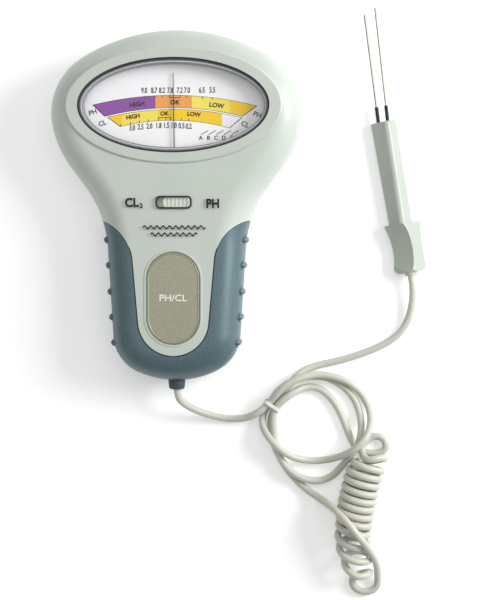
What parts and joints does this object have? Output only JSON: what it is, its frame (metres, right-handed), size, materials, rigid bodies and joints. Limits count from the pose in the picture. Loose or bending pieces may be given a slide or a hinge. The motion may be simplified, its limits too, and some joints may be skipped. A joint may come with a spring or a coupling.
{
  "type": "pool and spa water tester",
  "caption": "Hand-held water tester with a needle dial, slide switch and gripped handle, and a two-electrode probe on a tied, partly coiled cord.",
  "frame": {"origin": "on the flat rest face, below the needle's pivot", "axes": "+Z out of the dial side, +Y from the handle towards the head's top, +X towards the probe"},
  "size_m": [0.1843, 0.2903, 0.032],
  "materials": {
    "housing": "light grey-green moulded ABS, satin",
    "grip": "blue-grey soft overmould, matte",
    "gasket": "black rubber seal",
    "lens": "clear moulded window",
    "surround": "grey moulded dial surround",
    "dial": "white printed dial plate",
    "screws": "small steel fasteners",
    "badge": "khaki brushed label plate",
    "movement_plastic": "dark moulded plastic",
    "iron": "soft iron yoke",
    "magnet": "plated magnet core",
    "brass": "brass fittings",
    "aluminium": "coil frame",
    "copper_wire": "enamelled copper winding",
    "needle": "black needle",
    "bronze": "bronze hairspring",
    "board": "green circuit board",
    "switch_metal": "tinned switch case",
    "slider": "off-white ribbed slider",
    "trimmer": "blue trimmer bodies",
    "resistor": "tan resistor bodies",
    "relief": "dark blue-grey strain relief",
    "cord": "off-white vinyl cord",
    "coil": "the same cord, wound",
    "wire": "insulated leads",
    "tie": "white plastic tie",
    "probe": "pale grey-green moulded probe",
    "sleeve": "black sleeves",
    "silver": "silver-grey electrode",
    "copper_nickel": "warm copper-nickel electrode"
  },
  "bodies": {
    "tester": {"badge": "badge", "bearing_screws": "brass", "board_screws": "screws", "case_screws": "screws", "circuit_board": "board", "clamp_screws": "screws", "cord_bush": "cord", "cord_clamp": "movement_plastic", "cord_coil": "coil", "cord_entry": "cord", "cord_feed": "cord", "cord_lead": "cord", "cord_loop": "cord", "cord_probe_run": "cord", "cord_tail": "cord", "cord_tie": "tie", "core_clamps": "brass", "dial_plate": "dial", "dial_screws": "screws", "dial_surround": "surround", "electrode_carrier": "movement_plastic", "electrode_copper": "copper_nickel", "electrode_silver": "silver", "electrode_sleeves": "sleeve", "front_grip": "grip", "front_shell": "housing", "hairsprings": "bronze", "lead_wires": "wire", "lens_gasket": "gasket", "magnet_core": "magnet", "movement_base": "movement_plastic", "movement_screws": "screws", "needle_stops": "screws", "probe_collar": "probe", "probe_handle": "probe", "probe_wires": "wire", "rear_cover": "housing", "rear_grip": "grip", "resistors": "resistor", "slide_switch": "switch_metal", "strain_relief": "relief", "switch_contacts": "brass", "trimmers": "trimmer", "upper_bridge": "brass", "window_lens": "lens", "yoke_ring": "iron"},
    "selector": {"selector_slider": "slider", "switch_wiper": "brass"},
    "pointer": {"needle": "needle", "coil_frame": "aluminium", "coil_winding": "copper_wire", "pivot_pins": "screws", "balance_weights": "brass"}
  },
  "joints": [
    {"name": "selector_slide", "type": "slide", "parent": "tester", "child": "selector", "axis": [-1, 0, 0], "range_m": [0, 0.003]},
    {"name": "needle_swing", "type": "hinge", "parent": "tester", "child": "pointer", "pos_m": [0, 0, 0.0131], "axis": [0, 0, 1], "range_deg": [-50, 48], "stiffness_Nm_per_rad": 0.00001}
  ]
}
